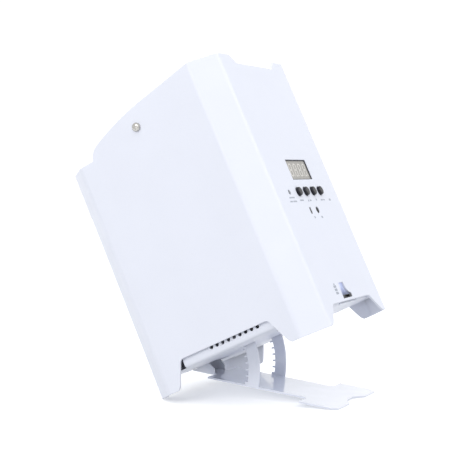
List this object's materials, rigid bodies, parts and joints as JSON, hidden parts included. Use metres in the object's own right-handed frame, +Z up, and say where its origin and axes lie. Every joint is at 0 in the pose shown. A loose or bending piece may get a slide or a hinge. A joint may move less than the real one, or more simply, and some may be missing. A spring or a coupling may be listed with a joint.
{
  "type": "battery powered wedge uplight",
  "caption": "White sheet steel wedge uplight on a toothed kickstand, with a sloping lens head, a digital display and push buttons.",
  "frame": {"origin": "centre of the lamp's box on the surface it stands on, with the kickstand opened as in use", "axes": "+Z up, -Y the side with the control panel, +X across the case; the case leans forward over its low face"},
  "size_m": [0.1264, 0.1864, 0.224],
  "materials": {
    "white_coat": "satin powder coat",
    "gloss_white_coat": "glossy coat",
    "nickel_screw": "nickel plated",
    "zinc_steel": "zinc plated",
    "black_coat": "fine textured black powder coat",
    "clear_lens": "clear moulded acrylic",
    "black_plastic": "matt",
    "led_board_white": "white solder mask",
    "led_yellow": "phosphor under silicone",
    "raw_aluminium": "as extruded",
    "battery_wrap": "shrink film",
    "green_board": "solder mask",
    "blue_board": "solder mask",
    "display_grey": "grey face with unlit segments",
    "button_black": "glossy",
    "led_lamp_grey": "diffused",
    "red_wire": "insulation",
    "black_wire": "insulation",
    "white_wire": "insulation"
  },
  "bodies": {
    "body": {"casing": "white_coat", "base_tray": "white_coat", "charge_scoop": "white_coat", "tray_screws": "nickel_screw", "side_screws": "nickel_screw", "head_screws": "nickel_screw", "strap_screws": "nickel_screw", "control_screws": "nickel_screw", "hinge_bracket": "zinc_steel", "bracket_rivets": "zinc_steel", "hinge_pin": "zinc_steel", "pin_clip": "zinc_steel", "battery_strap": "zinc_steel", "head_standoffs": "zinc_steel", "control_standoffs": "zinc_steel", "driver_standoffs": "zinc_steel", "lens_plate": "black_coat", "lenses": "clear_lens", "lens_holders": "black_plastic", "led_board": "led_board_white", "led_emitters": "led_yellow", "heat_sink": "raw_aluminium", "battery_pack": "battery_wrap", "driver_board": "green_board", "driver_parts": "black_plastic", "control_board": "green_board", "display_module": "display_grey", "tact_switches": "black_plastic", "status_led": "led_lamp_grey", "ir_receiver": "black_plastic", "mic_capsule": "black_plastic", "radio_module": "blue_board", "charge_socket": "black_plastic", "battery_lead": "red_wire", "lamp_lead": "black_wire", "panel_lead": "white_wire"},
    "stand": {"kickstand": "gloss_white_coat"},
    "cap_1": {"button_1": "button_black"},
    "cap_2": {"button_2": "button_black"},
    "cap_3": {"button_3": "button_black"},
    "cap_4": {"button_4": "button_black"}
  },
  "joints": [
    {"name": "kickstand_hinge", "type": "hinge", "parent": "body", "child": "stand", "pos_m": [0, 0.02352, 0.01802], "axis": [1, 0, 0], "range_deg": [-30.8, 11.2]},
    {"name": "button_1_press", "type": "slide", "parent": "body", "child": "cap_1", "axis": [0, 0.9074, -0.4204], "range_m": [0, 0.0006], "stiffness_N_per_m": 1500, "springref_m": -0.0002},
    {"name": "button_2_press", "type": "slide", "parent": "body", "child": "cap_2", "axis": [0, 0.9074, -0.4204], "range_m": [0, 0.0006], "stiffness_N_per_m": 1500, "springref_m": -0.0002},
    {"name": "button_3_press", "type": "slide", "parent": "body", "child": "cap_3", "axis": [0, 0.9074, -0.4204], "range_m": [0, 0.0006], "stiffness_N_per_m": 1500, "springref_m": -0.0002},
    {"name": "button_4_press", "type": "slide", "parent": "body", "child": "cap_4", "axis": [0, 0.9074, -0.4204], "range_m": [0, 0.0006], "stiffness_N_per_m": 1500, "springref_m": -0.0002}
  ]
}
